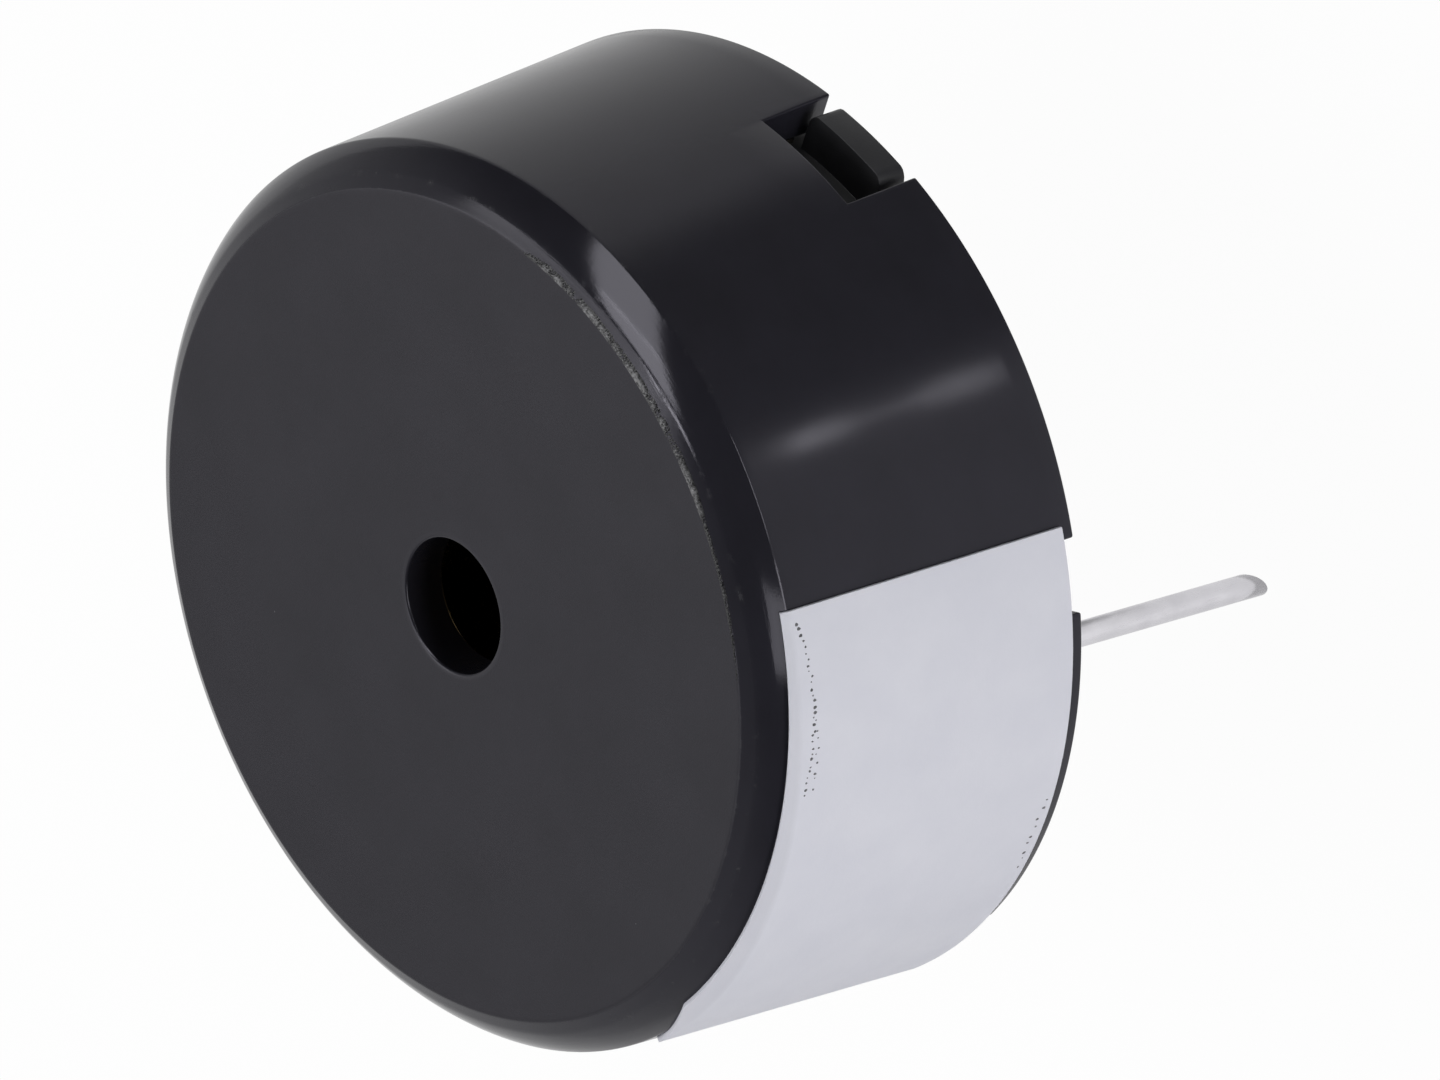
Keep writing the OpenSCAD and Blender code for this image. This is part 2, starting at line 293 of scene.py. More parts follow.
def blockQuads(solid, leaveOut=None):
    # quads between the full and the empty cells of a block of cells. The first direction closes on itself;
    # points are numbered [i, j, k]; directions i, j, k run left-handed, as angle, radius and height do
    turns, across, up = solid.shape

    def number(i, j, k):
        return (i % turns * (across + 1) + j) * (up + 1) + k

    found = []
    for axis in range(3):
        if axis == 0:
            below, above = np.roll(solid, 1, 0), solid
        else:
            pad = [(0, 0)] * 3
            pad[axis] = (1, 0)
            below = np.pad(solid, pad)
            pad[axis] = (0, 1)
            above = np.pad(solid, pad)
        for faces, outward in ((below & ~above, True), (above & ~below, False)):
            i, j, k = np.nonzero(faces)
            if axis == 2 and leaveOut is not None:
                keep = ~leaveOut[i, j]
                i, j, k = i[keep], j[keep], k[keep]
            corners = {
                0: [(0, 0, 0), (0, 1, 0), (0, 1, 1), (0, 0, 1)],
                1: [(0, 0, 0), (1, 0, 0), (1, 0, 1), (0, 0, 1)],
                2: [(0, 0, 0), (1, 0, 0), (1, 1, 0), (0, 1, 0)],
            }[axis]
            quads = np.stack([number(i + a, j + b, k + c) for a, b, c in corners], -1)
            turned = outward != (axis == 1)
            found.append(quads[:, ::-1] if turned else quads)
    return np.concatenate(found)


def roundEdges(piece, width, segments, angle):
    # rounds every edge sharper than the angle; the flat faces keep their own normals
    bevel = piece.modifiers.new("edges", "BEVEL")
    bevel.width = width * mm
    bevel.segments = segments
    bevel.limit_method = "ANGLE"
    bevel.angle_limit = np.radians(angle)
    normals = piece.modifiers.new("normals", "WEIGHTED_NORMAL")
    normals.keep_sharp = True


def settle(piece, slotName, *nodes):
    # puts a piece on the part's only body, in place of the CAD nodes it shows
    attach(piece, "root")
    if nodes:
        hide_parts(*nodes)
    return piece


housing = dict(
    rimRadius=8.499, height=7.0, draft=0.3,
    bevelWidth=0.48, bevelHeight=0.55, bevelBulge=0.04,
    landWidth=0.27, landHeight=0.15,
    holeRadius=1.225, faceThickness=0.85,
    chamberRadius=6.3, ledgeHeight=4.55,
    innerRadius=7.35, boreRadius=7.7, boreDepth=0.8,
    slotWidth=2.35, slotHeight=1.55, notchWidth=1.35, notchHeight=0.45,
    shoulderRound=0.035, landRound=0.045, cornerSteps=5,
    edgeRound=0.045, edgeAngle=55.0,
    slotCells=18, notchCells=12, wallCells=52, bevelSteps=12,
    wallLines=(2.4, 3.5), upperLine=5.4,                   # heights of extra lines on the wall
    landLines=5, ledgeLines=4, boreLines=3,
    faceLinesOut=(7.33, 7.2, 6.9),                         # radii of lines on the face, outside the chamber
    faceLinesIn=(5.6, 4.8, 4.0, 3.2, 2.4, 1.8, 1.45),      # and inside it
    holeBand=0.12,                                         # width of the last band at the hole
    parallelAngles=(13, 27), parallelHeights=(2.4, 4.0),   # where the columns turn radial again
    mattFrom=(0.02, 0.005), mattBand=0.1,                  # depths under the face, width at the hole
    bevelFade=0.1, landFade=(0.03, 0.1), bevelRadii=(7.0, 7.3),
    wearReach=(0.02, 0.07),                                # distances from an edge at which wear fades
)
housing["shoulderHeight"] = housing["height"] - housing["landHeight"] - housing["bevelHeight"]
housing["shoulderRadius"] = housing["rimRadius"] - housing["draft"]
housing["landRadius"] = housing["shoulderRadius"] - housing["bevelWidth"]
housing["landTop"] = housing["height"] - housing["landHeight"]
housing["faceRadius"] = housing["landRadius"] - housing["landWidth"]
housing["ceiling"] = housing["height"] - housing["faceThickness"]


def bevelLine(h, steps):
    # straight from the shoulder to the land, pushed out by 4 b t (1 - t), b being its bulge
    start = np.array([h["shoulderRadius"], h["shoulderHeight"]])
    end = np.array([h["landRadius"], h["landTop"]])
    way = (end - start) / np.linalg.norm(end - start)
    side = np.array([way[1], -way[0]])
    t = np.linspace(0, 1, steps)[:, None]
    return start + (end - start) * t + side * 4 * h["bevelBulge"] * t * (1 - t)


def outsideLine(h, bevelSteps, roundSteps):
    # outside of the wall from the shoulder's rounding up to where the land's rounding starts
    bevel = bevelLine(h, bevelSteps + 1)
    shoulder = roundedCorner((h["rimRadius"], 0), bevel[0], bevel[1], h["shoulderRound"], roundSteps)
    last = bevel[-1] + (bevel[-2] - bevel[-1]) / np.linalg.norm(bevel[-2] - bevel[-1]) * h["landRound"]
    return np.concatenate([shoulder, bevel[1:-1], last[None]])


def wallRadius(h, z):
    # falls by the draft from the rim to the shoulder
    return h["rimRadius"] - h["draft"] * np.asarray(z) / h["shoulderHeight"]


def ringColumns(slotHalf, notchHalf, slotCells, notchCells, wallCells, repeats=3):
    # column angles in degrees, with lines on both sides of each slot and notch, and the kind of each cell:
    # 1 in a slot, 2 in a notch, 0 between them
    half = 180 / repeats
    spans = [
        (-slotHalf, slotHalf, slotCells, 1),
        (slotHalf, half - notchHalf, wallCells, 0),
        (half - notchHalf, half + notchHalf, notchCells, 2),
        (half + notchHalf, 2 * half - slotHalf, wallCells, 0),
    ]
    one = np.concatenate([np.linspace(a, b, n, endpoint=False) for a, b, n, _ in spans])
    kind = np.concatenate([np.full(n, k) for _, _, n, k in spans])
    angles = np.concatenate([one + 2 * half * i for i in range(repeats)])
    return angles, np.tile(kind, repeats)


def smooth(x, low, high):
    # from 0 to 1 between low and high: t^2 (3 - 2 t)
    t = np.clip((np.asarray(x, float) - low) / (high - low), 0, 1)
    return t * t * (3 - 2 * t)


def parallelSides(h, angles, radius, height, repeats=3):
    # the columns near an opening are parallel: sin(new angle) = rim radius * sin(old angle) / radius; this
    # fades to the plain angle between the openings and above them
    step = 180 / repeats
    outer = h["rimRadius"]
    middle = np.round(angles / step) * step
    local = np.radians(angles - middle)[:, None, None]
    straight = np.arcsin(np.clip(outer * np.sin(local) / np.maximum(radius, outer * 0.8), -1, 1))
    beside = 1 - smooth(np.abs(np.degrees(local)), *h["parallelAngles"])
    below = 1 - smooth(height, *h["parallelHeights"])
    return np.radians(middle)[:, None, None] + local + (straight - local) * beside * below


def makeHousing(h):
    # block of cells by angle, radius and height. Its top line is the face and its outer line the wall;
    # between them radius = inner line + share * (wall - bore). Cells are left out for the chamber, the bore,
    # the slots and the notches
    outside = outsideLine(h, h["bevelSteps"], h["cornerSteps"])
    wallZ = np.array([0, h["notchHeight"], h["boreDepth"], h["slotHeight"], *h["wallLines"],
                      h["ledgeHeight"], h["upperLine"], h["ceiling"]])
    side = np.concatenate([np.c_[wallRadius(h, wallZ), wallZ], outside])
    corner = np.array([h["landRadius"], h["landTop"]])
    face = np.array([h["faceRadius"], h["height"]])
    landCorner = roundedCorner(side[-1], corner, face, h["landRound"], h["cornerSteps"])[1:]
    faceCorner = roundedCorner(corner, face, (0, h["height"]), h["landRound"], h["cornerSteps"])
    steps = np.linspace(0, 1, h["landLines"])[1:-1, None]
    toFace = landCorner[-1] + (faceCorner[0] - landCorner[-1]) * steps
    flatR = np.array([*h["faceLinesOut"], h["chamberRadius"], *h["faceLinesIn"],
                      h["holeRadius"] + h["holeBand"], h["holeRadius"]])
    flat = np.c_[flatR, np.full(len(flatR), h["height"])]
    top = np.concatenate([side[-1:], landCorner, toFace, faceCorner, flat])[::-1]

    # lines across, from the hole to the outside
    atChamber = int(np.argmin(np.abs(top[:, 0] - h["chamberRadius"])))
    inner = np.linspace(h["chamberRadius"], h["innerRadius"], h["ledgeLines"])
    bore = np.linspace(h["innerRadius"], h["boreRadius"], h["boreLines"])[1:]
    lower = np.concatenate([top[:atChamber, 0], inner, bore])
    atInner = atChamber + h["ledgeLines"] - 1
    atBore = atInner + h["boreLines"] - 1
    left = len(top) - len(lower)
    share = np.concatenate([np.zeros(len(lower)), np.linspace(0, 1, left + 1)[1:]])
    innerLine = np.concatenate([lower, np.full(left, h["boreRadius"])])
    aboveCeiling = np.linspace(h["ceiling"], h["height"], len(side) - len(wallZ) + 1)[1:]
    height = np.concatenate([wallZ, aboveCeiling])
    radius = innerLine[:, None] + share[:, None] * (side[None, :, 0] - h["boreRadius"])
    level = np.broadcast_to(height, radius.shape).copy()
    radius[-1] = side[:, 0]
    level[-1] = side[:, 1]
    radius[:, -1] = top[:, 0]
    level[:, -1] = top[:, 1]
    radius[0] = top[0, 0]

    angles, kind = ringColumns(np.degrees(np.arcsin(h["slotWidth"] / 2 / h["rimRadius"])),
                               np.degrees(np.arcsin(h["notchWidth"] / 2 / h["rimRadius"])),
                               h["slotCells"], h["notchCells"], h["wallCells"])
    turned = parallelSides(h, angles, radius[None], level[None])
    level = np.broadcast_to(level, turned.shape)
    points = np.stack([radius * np.cos(turned), radius * np.sin(turned), level], -1)
    midZ = (height[:-1] + height[1:]) / 2
    column = np.arange(len(top) - 1)
    solid = np.ones((len(column), len(midZ)), bool)
    solid[:, midZ < h["ceiling"]] = (column >= atChamber)[:, None]
    solid[:, midZ < h["ledgeHeight"]] = (column >= atInner)[:, None]
    solid[:, midZ < h["boreDepth"]] = (column >= atBore)[:, None]
    solid = np.broadcast_to(solid, (len(angles),) + solid.shape).copy()
    solid[np.ix_(kind == 1, column >= 0, midZ < h["slotHeight"])] = False
    solid[np.ix_(kind == 2, column >= 0, midZ < h["notchHeight"])] = False
    piece = putMesh("housingShell", points, blockQuads(solid))
    markHousing(h, piece)
    roundEdges(piece, h["edgeRound"], 3, h["edgeAngle"])
    return piece


def markHousing(h, piece):
    # masks for the plastic: the matt face, the glossier bevel and the edges that wear
    at = meshPoints(piece)
    away = np.hypot(at[:, 0], at[:, 1])
    z = at[:, 2]
    onFace = smooth(z, h["height"] - h["mattFrom"][0], h["height"] - h["mattFrom"][1])
    pastHole = smooth(away, h["holeRadius"], h["holeRadius"] + h["mattBand"])
    putAttribute(piece, "matt", onFace * pastHole)
    aboveWall = smooth(z, h["shoulderHeight"] - h["bevelFade"], h["shoulderHeight"])
    underLand = 1 - smooth(z, h["landTop"] + h["landFade"][0], h["landTop"] + h["landFade"][1])
    putAttribute(piece, "bevel", aboveWall * underLand * smooth(away, *h["bevelRadii"]))
    edges = ((h["shoulderRadius"], h["shoulderHeight"]), (h["landRadius"], h["landTop"]),
             (h["faceRadius"], h["height"]))
    worn = [1 - smooth(np.hypot(away - r, z - level), *h["wearReach"]) for r, level in edges]
    putAttribute(piece, "edge", np.max(worn, axis=0))


basePlate = dict(
    radius=7.6, thickness=0.8, earThickness=0.58, earRadius=8.4, earWidth=1.95, earCorner=0.3,
    pinPlace=5.0, pinHole=0.245, recessRadius=0.75, recessDepth=0.2, bossRadius=1.1, bossTop=1.5,
    edgeRound=0.04, edgeAngle=50.0, earCells=26, wallCells=40, spareCells=8, spareHalf=5.0,
    innerLines=(0.0, 0.8, 1.7, 2.5), outerLine=7.2,    # radii of lines on the plate
    windowLines=(3.2, 3.9, 5.0, 6.1, 6.75),            # and across the window around each pin
    windowHalf=22.0,                                   # half the window's angle
    plugSteps=(0, 0.45, 0.8, 0.95, 1.0),               # shares of the way from the window to the round
    plugBand=0.15, bossBand=0.1, earFadeFrom=5.0, leastReach=1.5,
)


def basePlan(b, angles, across, earHalf):
    # plan of the plate by angle and radius. In an ear the columns crowd towards its corners,
    # y = half width * sin(pi / 2 * share), and its tip is x = end - corner + sqrt(corner^2 - over^2), over
    # being |y| past the middle of the corner's arc
    middle = np.round(angles / 120) * 120
    local = np.radians(angles - middle)
    inEar = np.abs(local) <= np.radians(earHalf) + 1e-9
    halfWidth = b["earWidth"] / 2
    y = b["radius"] * np.sin(local)
    spaced = np.where(inEar, halfWidth * np.sin(np.clip(y / halfWidth, -1, 1) * np.pi / 2), y)
    over = np.maximum(np.abs(spaced) - (halfWidth - b["earCorner"]), 0)
    tip = b["earRadius"] - b["earCorner"] + np.sqrt(np.maximum(b["earCorner"] ** 2 - over ** 2, 0))
    tip = np.minimum(tip, np.sqrt(np.maximum(b["earRadius"] ** 2 - spaced ** 2, 0)))
    radius = np.broadcast_to(across, (len(angles), len(across))).copy()
    angle = np.broadcast_to((local + np.radians(middle))[:, None], radius.shape)
    fade = smooth(across, b["earFadeFrom"], b["radius"])[None, :]
    side = np.where(inEar, spaced, 0)[:, None]
    reach = np.maximum(across, b["leastReach"])[None, :]
    earAngle = np.arcsin(np.clip(side / reach, -1, 1)) + np.radians(middle)[:, None]
    angle = np.where(inEar[:, None], angle * (1 - fade) + earAngle * fade, angle)
    radius[:, -1] = np.where(inEar, np.hypot(tip, spaced), b["earRadius"])
    angle[:, -1] = np.where(inEar, np.arctan2(spaced, tip) + np.radians(middle), angle[:, -1])
    return np.stack([radius * np.cos(angle), radius * np.sin(angle)], -1)


def pinPlug(b, loop, side):
    # rings that fill a window: (1 - t) * window + t * circle on the underside, then the recess, the pin's
    # hole and the boss, and the same blend back out on the upper side
    axis = np.array([0.0, b["pinPlace"] * side])
    ray = loop - axis
    ray /= np.linalg.norm(ray, axis=1)[:, None]

    def blend(level, radius):
        circle = axis + ray * radius
        return [np.c_[loop * (1 - t) + circle * t, np.full(len(loop), level)] for t in b["plugSteps"]]

    line = [
        (b["recessRadius"], b["recessDepth"]), (b["pinHole"] + b["plugBand"], b["recessDepth"]),
        (b["pinHole"], b["recessDepth"]), (b["pinHole"], b["bossTop"]),
        (b["pinHole"] + b["plugBand"], b["bossTop"]), (b["bossRadius"] - b["bossBand"], b["bossTop"]),
        (b["bossRadius"], b["bossTop"]),
    ]
    shaft = [np.c_[axis + ray * radius, np.full(len(loop), z)] for radius, z in line]
    upper = blend(b["thickness"], b["bossRadius"])
    return np.array(blend(0.0, b["recessRadius"]) + shaft + upper[::-1])


def makeBase(b):
    # block of cells by angle, radius and height, with ears in its lower layer, and a plug at each pin
    earHalf = np.degrees(np.arcsin(b["earWidth"] / 2 / b["radius"]))
    angles, kind = ringColumns(earHalf, b["spareHalf"], b["earCells"], b["spareCells"], b["wallCells"])
    across = np.array([*b["innerLines"], *b["windowLines"], b["outerLine"], b["radius"], b["earRadius"]])
    height = np.array([0, b["earThickness"], b["thickness"]])
    plan = basePlan(b, angles, across, earHalf)
    points = np.empty(plan.shape[:2] + (len(height), 3))
    points[..., :2] = plan[:, :, None]
    points[..., 2] = height
    solid = np.zeros((len(angles), len(across) - 1, len(height) - 1), bool)
    solid[:, :-1] = True
    solid[kind == 1, -1, 0] = True
    windows = np.zeros((len(angles), len(across)), bool)
    first = len(b["innerLines"])
    last = first + len(b["windowLines"]) - 1
    plugs = []
    for side in (1, -1):
        edges = 90.0 * side + np.array([-1, 1]) * b["windowHalf"]
        start, end = [int(np.argmin(np.abs((angles - edge + 180) % 360 - 180))) for edge in edges]
        line = (start + np.arange((end - start) % len(angles) + 1)) % len(angles)
        windows[np.ix_(line[:-1], np.arange(first, last))] = True
        loop = np.concatenate([plan[line[:-1], first], plan[line[-1], first:last],
                               plan[line[:0:-1], last], plan[line[0], last:first:-1]])
        plugs.append(pinPlug(b, loop[::-1], side))       # anticlockwise seen from above
    allPoints = [points.reshape(-1, 3)]
    allQuads = [blockQuads(solid, windows)]
    count = len(allPoints[0])
    for plug in plugs:
        allPoints.append(plug.reshape(-1, 3))
        allQuads.append(gridQuads(len(plug), plug.shape[1], count, closeColumns=True)[:, ::-1])
        count += plug.size // 3
    piece = putMesh("basePlate", np.concatenate(allPoints), np.concatenate(allQuads), merge=True)
    roundEdges(piece, b["edgeRound"], 3, b["edgeAngle"])
    return piece


labelSheet = dict(
    middle=-90.0, length=10.9, thickness=0.098, fromRim=0.29, fold=0.2, skew=1.0, trimLength=1.8, trim=16.0,
    edgeRound=0.02, edgeAngle=50.0,
    foldReach=0.16,                           # length of the close rows over the shoulder
    columns=220, wallRows=33, foldRows=25, bevelRows=12,
    curveTop=6.2, curveSteps=(63, 16, 9),     # finer outside line: end of its wall, steps of its parts
    least=0.02, squeeze=0.003, under=0.001,   # last band, distance of rows at a cut edge, gap to the wall
)


def outsideCurve(s, h):
    # the outside from rim to land by its own length: length, (radius, height) and outward normal
    wallSteps, bevelSteps, roundSteps = s["curveSteps"]
    z = np.linspace(0, s["curveTop"], wallSteps)
    line = np.concatenate([np.c_[wallRadius(h, z), z], outsideLine(h, bevelSteps, roundSteps)])
    length = np.concatenate([[0], np.cumsum(np.linalg.norm(np.diff(line, axis=0), axis=1))])
    ahead = np.gradient(line, length, axis=0)
    ahead /= np.linalg.norm(ahead, axis=1)[:, None]
    return length, line, np.c_[ahead[:, 1], -ahead[:, 0]]


def makeLabel(s, h):
    # a grid by angle and length along the outside line, laid on by its normals. Both ends of the sheet lean
    # by the skew, and its front edge is the lower of the skewed line and the trimmed one
    length, line, normal = outsideCurve(s, h)
    halfAngle = s["length"] / 2 / h["rimRadius"]
    lean = np.tan(np.radians(s["skew"]))
    frontMiddle = h["shoulderHeight"] + s["fold"]
    a = np.linspace(-1, 1, s["columns"])[:, None] * halfAngle
    across = h["shoulderRadius"] * np.sin(a)
    trimStart = -h["rimRadius"] * np.sin(halfAngle - s["trimLength"] / h["rimRadius"])
    trimmed = frontMiddle - trimStart * lean + (across - trimStart) * np.tan(np.radians(s["trim"]))
    frontZ = np.minimum(frontMiddle - across * lean, trimmed)
    start, shoulder = np.interp([s["fromRim"], h["shoulderHeight"]], line[:, 1], length)
    foldFrom = shoulder - s["foldReach"] / 2
    foldTo = shoulder + s["foldReach"] / 2
    onWall = np.concatenate([np.linspace(start, foldFrom, s["wallRows"] + 1)[:-1],
                             np.linspace(foldFrom, foldTo, s["foldRows"])])
    front = np.interp(frontZ, line[:, 1], length)
    steps = np.linspace(0, 1, s["bevelRows"])[None, 1:]
    overBevel = foldTo + (np.maximum(front, foldTo + s["least"]) - foldTo) * steps
    at = np.concatenate([np.broadcast_to(onWall, (len(a), len(onWall))), overBevel], 1)
    # rows that would lie past the front edge are squeezed just behind it
    at = np.minimum(at, front - s["squeeze"] * np.arange(at.shape[1])[None, ::-1])
    z = np.interp(at, length, line[:, 1])
    radius = np.interp(at, length, line[:, 0])
    out = np.stack([np.interp(at, length, normal[:, 0]), np.interp(at, length, normal[:, 1])], -1)
    a = a + np.arcsin((z - frontMiddle / 2) * lean / radius) + np.radians(s["middle"])

    def sheet(offset):
        r = radius + out[..., 0] * offset
        return np.stack([r * np.cos(a), r * np.sin(a), z + out[..., 1] * offset], -1)

    # the section runs up the outside and down the inside
    section = np.concatenate([sheet(s["thickness"]), sheet(s["under"])[:, ::-1]], 1)
    columns, around = section.shape[:2]
    quads = [gridQuads(columns, around, closeColumns=True)]
    rows = at.shape[1]
    cap = ladderQuads(around)
    quads += [cap[:, ::-1], cap + (columns - 1) * around]
    piece = putMesh("labelSheet", section, np.concatenate(quads)[:, ::-1])
    uv = piece.data.uv_layers.new(name="sheet")
    flat = np.zeros((columns, around, 2))
    flat[..., 0] = np.linspace(0, s["length"], columns)[:, None]
    flat[:, :rows, 1] = at
    flat[:, rows:, 1] = at[:, ::-1]
    index = np.zeros(len(piece.data.loops), np.int32)
    piece.data.loops.foreach_get("vertex_index", index)
    uv.data.foreach_set("uv", flat.reshape(-1, 2)[index].astype(np.float32).ravel())
    roundEdges(piece, s["edgeRound"], 2, s["edgeAngle"])
    return piece


pin = dict(
    radius=0.225, place=5.0, top=2.2, collarRadius=0.5, collarBottom=1.5, collarTop=1.7,
    bendRadius=1.225, lean=3.5, length=7.2, shear=45.0,
    sides=48, upperRings=14, bendRings=5, lowerRings=39,
    tipGap=0.02, tipRound=(0.93, 0.012),     # last ring to the cut; size and rise of the cut's rounded edge
    collarRound=0.04, collarSink=0.02,
)


def makePin(name, p, side):
    # a round bar along an upright line, an arc and a leaning line; the cut's ring is slid along the bar by
    # tan(shear) times each point's distance across it, so that the outer side ends at the full length
    lean = np.radians(p["lean"])
    straight = np.c_[np.zeros(p["upperRings"]), np.linspace(p["top"], 0.0, p["upperRings"])]
    turn = np.linspace(0, lean, p["bendRings"] + 1)[1:]
    arc = np.c_[p["bendRadius"] * (1 - np.cos(turn)), -p["bendRadius"] * np.sin(turn)]
    slope = np.tan(np.radians(p["shear"]))
    toMiddle = slope * p["radius"] + p["tipGap"]             # from the last full ring to the cut's middle
    fullLength = p["length"] - slope * p["radius"] - toMiddle
    steps = np.linspace(0, 1, p["lowerRings"] + 1)[1:, None]
    leaning = arc[-1] + np.array([np.sin(lean), -np.cos(lean)]) * fullLength * steps
    line = np.concatenate([straight, arc, leaning])
    path = np.c_[np.zeros(len(line)), side * (p["place"] + line[:, 0]), line[:, 1]]
    rings = sweep(path, p["radius"], p["sides"])
    down = np.array([0, side * np.sin(lean), -np.cos(lean)])
    out = np.array([0, side * np.cos(lean), np.sin(lean)])
    offset = (rings[-1] - path[-1]) @ out
    edge = rings[-1] + down * (toMiddle + offset * slope)[:, None]
    middle = path[-1] + down * toMiddle
    size, rise = p["tipRound"]
    cut = [edge, middle + (edge - middle) * size + down * rise]
    cut += [middle + (edge - middle) * share for share in (0.5, 0.02)]
    lid = [path[0] + (rings[0] - path[0]) * share for share in (0.02, 0.5)]
    allRings = np.array(lid + list(rings[:-1]) + cut)
    return putMesh(name, allRings, closeEnds(allRings))


def closeEnds(rings):
    # quads of stacked rings, with a ladder of quads over the small first and last ring
    count, sides = rings.shape[:2]
    body = gridQuads(count, sides, closeColumns=True)
    start = ladderQuads(sides)
    return np.concatenate([body, start, start[:, ::-1] + (count - 1) * sides])


def makeCollar(name, p, side):
    # flat ring with broken edges, sunk a little into the bar
    outer = p["collarRadius"]
    inner = p["radius"] - p["collarSink"]
    bottom = p["collarBottom"]
    top = p["collarTop"]
    broken = p["collarRound"]
    line = [(inner, bottom), (outer - broken, bottom), (outer, bottom + broken),
            (outer, top - broken), (outer - broken, top), (inner, top)]
    return lathe(name, line, p["sides"], (0, side * p["place"]))


burr = dict(
    start=-66.0, end=9.0, strongFrom=(-44.0, -34.0), strongTo=2.0, endFade=1.0,
    weak=0.3, weakFade=(1.0, 20.0),
    inside=0.03, outside=0.13, lift=0.05, sunk=0.006, edgeDrop=0.02, underFace=0.0005,
    fineWaves=(80, 900, 9.0), coarseWaves=(10, 160, 5.0), wanderWaves=(6, 90, 3.0),   # waves in a full turn
    finePower=0.3, coarsePower=0.3, wanderPower=0.5,
    coarseShare=1.1, neighbourShare=0.6, chipMiddle=0.75, chipSpread=0.9, chipLimit=1.6,
    wander=0.03, rise=0.15, fall=(0.55, 0.95),   # the profile: end of its rise, start and end of its fall
    columns=3600, rows=16,
)


def roughLine(angles, waves, power):
    # sum of sine waves around the circle, so that it closes on itself; each has a random phase and a random
    # strength times its wave number to the minus power
    waves = np.arange(*waves)
    phase = seeded.uniform(0, 2 * np.pi, len(waves))
    size = seeded.normal(size=len(waves)) * waves ** -power
    line = (np.sin(angles[:, None] * waves + phase) * size).sum(1)
    return line / np.abs(line).max()


def makeBurr(b, h):
    # torn line on the slope outside the face's edge: height over the slope = lift * force(angle) *
    # profile(radius) * chips(angle, radius), cut off just under the face
    degrees = np.linspace(b["start"], b["end"], b["columns"])
    angles = np.radians(degrees)
    ending = 1 - smooth(degrees, b["strongTo"], b["end"] - b["endFade"])
    strong = smooth(degrees, *b["strongFrom"]) * ending
    weak = b["weak"] * smooth(degrees, *(b["start"] + np.array(b["weakFade"]))) * ending
    force = np.maximum(strong, weak)[:, None]
    t = np.linspace(0, 1, b["rows"])[None, :]
    chips = np.stack([roughLine(angles, b["fineWaves"], b["finePower"]) for _ in range(b["rows"])], 1)
    coarse = roughLine(angles, b["coarseWaves"], b["coarsePower"])[:, None]
    chips = chips + b["neighbourShare"] * np.roll(chips, 1, 1) + b["coarseShare"] * coarse
    chips = np.clip(b["chipMiddle"] + b["chipSpread"] * chips, 0, b["chipLimit"])
    wander = b["wander"] * roughLine(angles, b["wanderWaves"], b["wanderPower"])[:, None]
    profile = smooth(t, 0, b["rise"]) * (1 - smooth(t, b["fall"][0] + 3 * wander, b["fall"][1] + wander))
    r = h["faceRadius"] - b["inside"] + (b["inside"] + b["outside"] * (0.5 + 0.5 * force)) * t
    slope = h["height"] - np.maximum(r - h["faceRadius"], 0) * h["landHeight"] / h["landWidth"]
    torn = b["lift"] * force * profile * chips
    z = np.minimum(slope - b["sunk"] + torn, h["height"] - b["underFace"])
    z[:, [0, -1]] -= b["edgeDrop"]
    points = np.stack([r * np.cos(angles)[:, None], r * np.sin(angles)[:, None], z], -1)
    cap = ladderQuads(b["rows"])
    body = gridQuads(b["columns"], b["rows"], closeColumns=True)[:, ::-1]
    last = (b["columns"] - 1) * b["rows"]
    piece = putMesh("faceEdgeBurr", points, np.concatenate([body, cap, cap[:, ::-1] + last]))
    # height of the chips, which the torn plastic's colour turns into a painted highlight and painted shade
    putAttribute(piece, "chip", np.clip(force * profile * chips, 0, 1).ravel())
    return piece


specks = dict(
    # arcs of dots: how many, first and last angle, height at both ends, how far the middle lies lower
    arcs=[(30, -54.6, -76.6, 6.20, 0.17), (10, -66.0, -76.0, 6.02, 0.06), (9, -88.5, -99.5, 0.44, -0.05)],
    radius=(0.012, 0.033), uneven=(0.7, 1.25), tall=1.25,
    scatter=0.03, shift=0.6, lift=0.004, middleRadius=8.3, sides=8,
)


